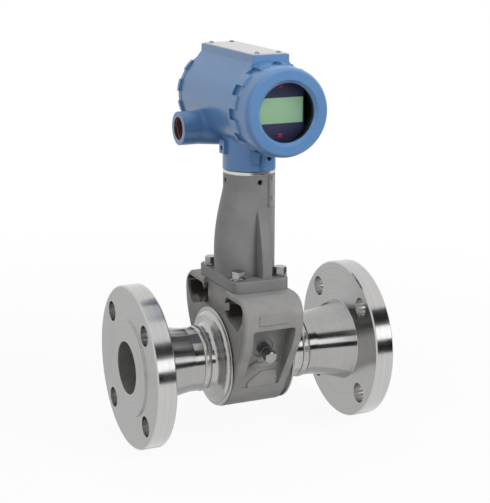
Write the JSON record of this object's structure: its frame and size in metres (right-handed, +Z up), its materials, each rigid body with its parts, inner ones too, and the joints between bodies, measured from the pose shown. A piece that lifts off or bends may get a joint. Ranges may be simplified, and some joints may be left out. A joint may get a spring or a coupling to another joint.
{
  "type": "vortex flow meter",
  "caption": "Flanged vortex flow meter: cast body with a shedder bar in the bore, support tube and a turning two-compartment housing with screw covers.",
  "frame": {"origin": "centre of the outlet flange's bolt circle on its bolting face, on the pipe's axis, 1.6 mm behind the raised sealing face", "axes": "+X runs upstream along the pipe, since the flow leaves towards -X as the cast arrow shows, +Z up the support tube to the housing, -Y is the side that the display faces"},
  "size_m": [0.24, 0.1576, 0.3647],
  "materials": {
    "machined_stainless": "turned, bright",
    "weld_bead": "as welded, brushed",
    "blasted_casting": "cast and bead blasted, matte",
    "bar_stainless": "machined",
    "hidden_steel": "machined",
    "plug_steel": "machined, bright head",
    "bright_fastener": "bright",
    "screw_steel": "plain",
    "tag_stainless": "rolled sheet, blank",
    "plate_sheet": "satin sheet, blank",
    "blue_paint": "satin polyurethane paint on cast aluminium",
    "seal_rubber": "matte",
    "cable_sheath": "matte",
    "module_plastic": "moulded, matte",
    "navy_plastic": "moulded, satin",
    "red_plastic": "moulded",
    "lcd": "blank reflective display glass",
    "clear_glass": "polished"
  },
  "bodies": {
    "meter": {"outlet_flange": "machined_stainless", "inlet_flange": "machined_stainless", "outlet_weld": "weld_bead", "inlet_weld": "weld_bead", "meter_body": "blasted_casting", "shedder_bar": "bar_stainless", "flow_sensor": "bar_stainless", "sensor_nut": "hidden_steel", "sensor_cable": "cable_sheath", "cable_connector": "module_plastic", "support_tube": "blasted_casting", "tube_washers": "bright_fastener", "tube_bolts": "bright_fastener", "access_plug": "plug_steel", "tube_tag": "tag_stainless", "tag_screws": "bright_fastener", "housing_seal": "seal_rubber"},
    "housing": {"electronics_housing": "blue_paint", "housing_screws": "screw_steel", "name_plate": "plate_sheet", "name_plate_screws": "screw_steel", "electronics_module": "module_plastic", "module_screws": "screw_steel", "display_posts": "screw_steel", "display_bezel": "navy_plastic", "lcd_glass": "lcd", "display_clips": "red_plastic", "terminal_block": "module_plastic", "terminal_screws": "bright_fastener", "inner_ground_screw": "bright_fastener"},
    "display_cover_seal": {"display_cover_seal": "seal_rubber"},
    "display_cover": {"display_cover": "blue_paint", "cover_glass": "clear_glass", "glass_retainer": "hidden_steel"},
    "terminal_cover_seal": {"terminal_cover_seal": "seal_rubber"},
    "terminal_cover": {"terminal_cover": "blue_paint"}
  },
  "joints": [
    {"name": "housing_turn", "type": "hinge", "parent": "meter", "child": "housing", "pos_m": [0.1214, 0, 0.19], "axis": [0, 0, 1], "range_deg": [-180, 180]},
    {"name": "display_cover_travel", "type": "slide", "parent": "housing", "child": "display_cover_seal", "axis": [0, -1, 0], "range_m": [0, 0.01]},
    {"name": "display_cover_turn", "type": "hinge", "parent": "display_cover_seal", "child": "display_cover", "pos_m": [0.1214, -0.045, 0.2392], "axis": [0, -1, 0], "range_deg": [0, 1800]},
    {"name": "terminal_cover_travel", "type": "slide", "parent": "housing", "child": "terminal_cover_seal", "axis": [0, 1, 0], "range_m": [0, 0.01]},
    {"name": "terminal_cover_turn", "type": "hinge", "parent": "terminal_cover_seal", "child": "terminal_cover", "pos_m": [0.1214, 0.07, 0.2392], "axis": [0, 1, 0], "range_deg": [0, 1800]}
  ],
  "couplings": [
    {"joint": "display_cover_travel", "follows": "display_cover_turn", "m_per_rad": 0.0003183},
    {"joint": "terminal_cover_travel", "follows": "terminal_cover_turn", "m_per_rad": 0.0003183}
  ]
}
